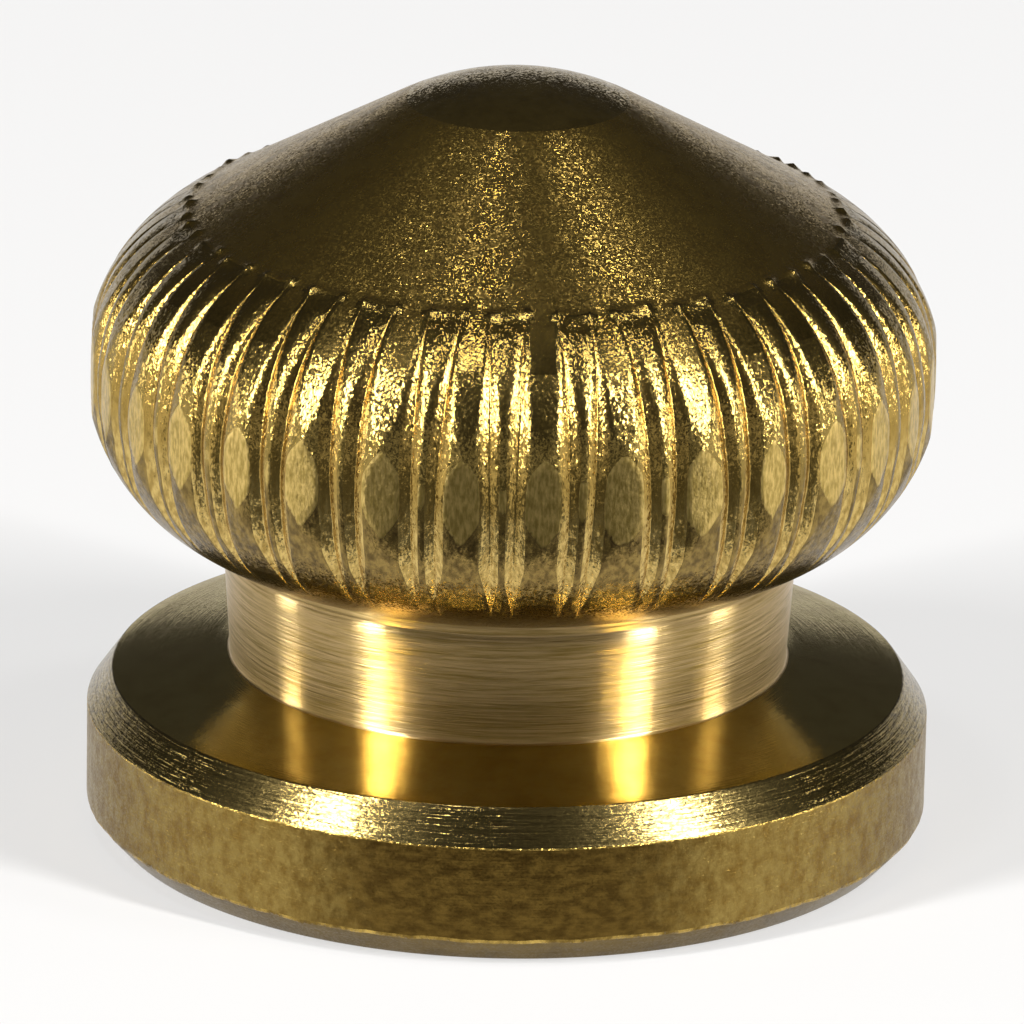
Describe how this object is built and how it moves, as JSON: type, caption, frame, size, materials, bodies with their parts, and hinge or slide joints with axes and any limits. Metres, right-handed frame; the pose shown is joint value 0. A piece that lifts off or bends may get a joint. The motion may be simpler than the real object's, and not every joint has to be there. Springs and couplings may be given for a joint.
{
  "type": "knurled knob",
  "caption": "Small turned brass knob with a chamfered flange, a short neck and a round-edged, conical-topped head whose rim is knurled for grip.",
  "frame": {"origin": "centre of the flat base, on the turning axis", "axes": "+Z along the turning axis, from the base towards the nose of the head"},
  "size_m": [0.0126, 0.0126, 0.0117],
  "materials": {
    "turned_brass": "turned free-cutting brass: fine turning lines on the cone, neck and flange face, pressed grooves on the rim of the head, drawn bar skin on the flange side"
  },
  "bodies": {
    "root": {"knob": "turned_brass"}
  },
  "joints": []
}
